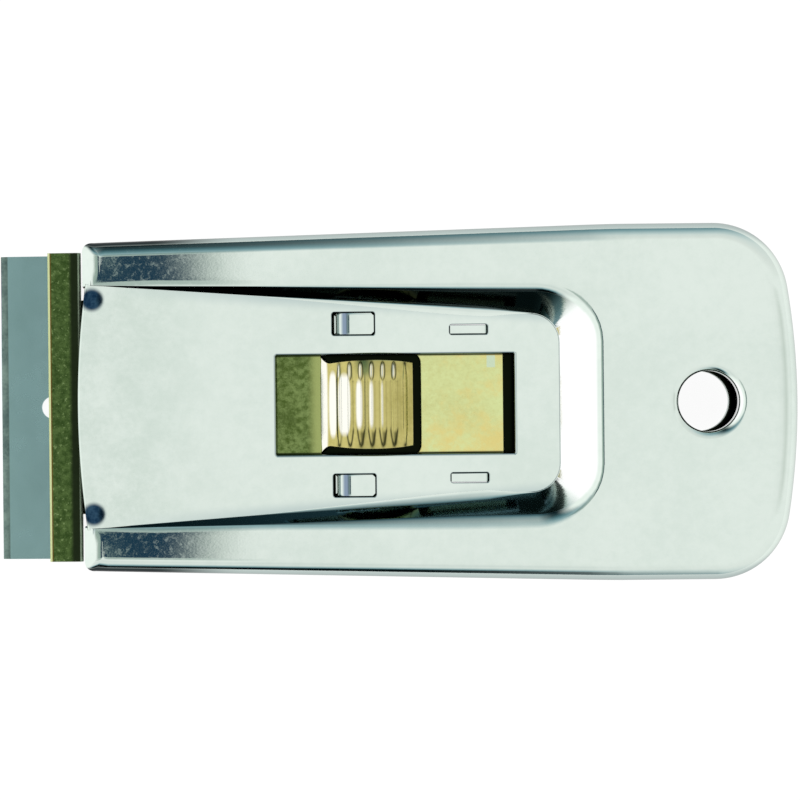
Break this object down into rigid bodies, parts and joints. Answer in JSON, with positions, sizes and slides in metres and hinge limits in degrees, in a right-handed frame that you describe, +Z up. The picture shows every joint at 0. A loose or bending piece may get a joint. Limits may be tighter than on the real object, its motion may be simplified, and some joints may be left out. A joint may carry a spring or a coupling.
{
  "type": "razor blade scraper",
  "caption": "Flat plated steel scraper handle with a brass thumb slide that pushes a wide razor blade out of its front.",
  "frame": {"origin": "on the hang hole axis, on the flat underside of the case", "axes": "+X to the rear end of the handle (the blade points to -X), +Z up out of the panel side, +Y to the left when the user looks along -X"},
  "size_m": [0.0994, 0.044, 0.0085],
  "materials": {
    "plated_steel": "bright nickel plate on pressed steel",
    "plated_steel_base": "satin nickel plate on pressed steel",
    "brass": "rolled brass, clouded",
    "dull_brass": "rolled brass, mottled and dull",
    "blade_steel": "ground blade steel"
  },
  "bodies": {
    "case": {"upper_case": "plated_steel", "lower_case": "plated_steel_base"},
    "carriage": {"carriage": "brass", "thumb_tab": "brass", "blade_channel": "dull_brass"},
    "blade": {"blade": "blade_steel"}
  },
  "joints": [
    {"name": "carriage_slide", "type": "slide", "parent": "case", "child": "carriage", "axis": [1, 0, 0], "range_m": [-0.0053, 0.0124]},
    {"name": "blade_release", "type": "slide", "parent": "carriage", "child": "blade", "axis": [-0.9988, 0, -0.0489], "range_m": [0, 0.004]}
  ]
}
